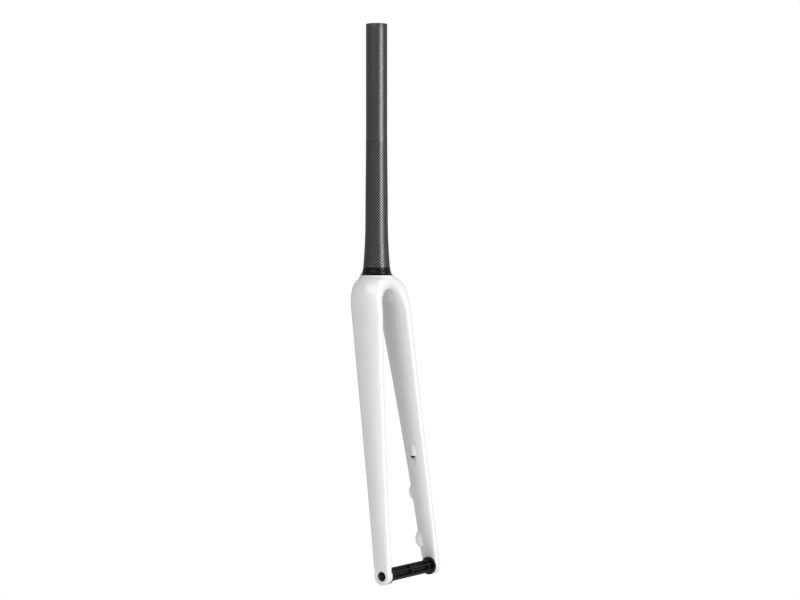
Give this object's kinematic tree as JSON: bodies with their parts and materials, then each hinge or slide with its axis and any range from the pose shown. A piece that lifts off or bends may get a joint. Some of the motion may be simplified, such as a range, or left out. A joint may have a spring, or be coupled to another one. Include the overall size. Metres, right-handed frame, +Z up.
{
  "type": "rigid bicycle fork",
  "caption": "Rigid bicycle fork with a tapered carbon steerer, a white moulded crown and legs, a flat brake mount, a hose port and a ribbed dropout spacer.",
  "frame": {"origin": "centre of the crown race plane, on the steerer's axis, where the foot of the 45 degree bearing bevel meets the painted rim", "axes": "+Z up the steerer, +X to the rider's left, which is the brake side, -Y forwards"},
  "size_m": [0.1202, 0.086, 0.7437],
  "materials": {
    "white_paint": "gloss white paint under clear lacquer, over a carbon laminate",
    "carbon_weave": "bare carbon weave with a satin resin surface",
    "insert_metal": "machined aluminium",
    "black_plastic": "moulded black plastic, slightly glossy"
  },
  "bodies": {
    "root": {"crown_and_legs": "white_paint", "steerer_tube": "carbon_weave", "axle_sleeve_left": "insert_metal", "axle_sleeve_right": "insert_metal", "brake_insert_upper": "insert_metal", "brake_insert_lower": "insert_metal", "dropout_spacer": "black_plastic"}
  },
  "joints": []
}
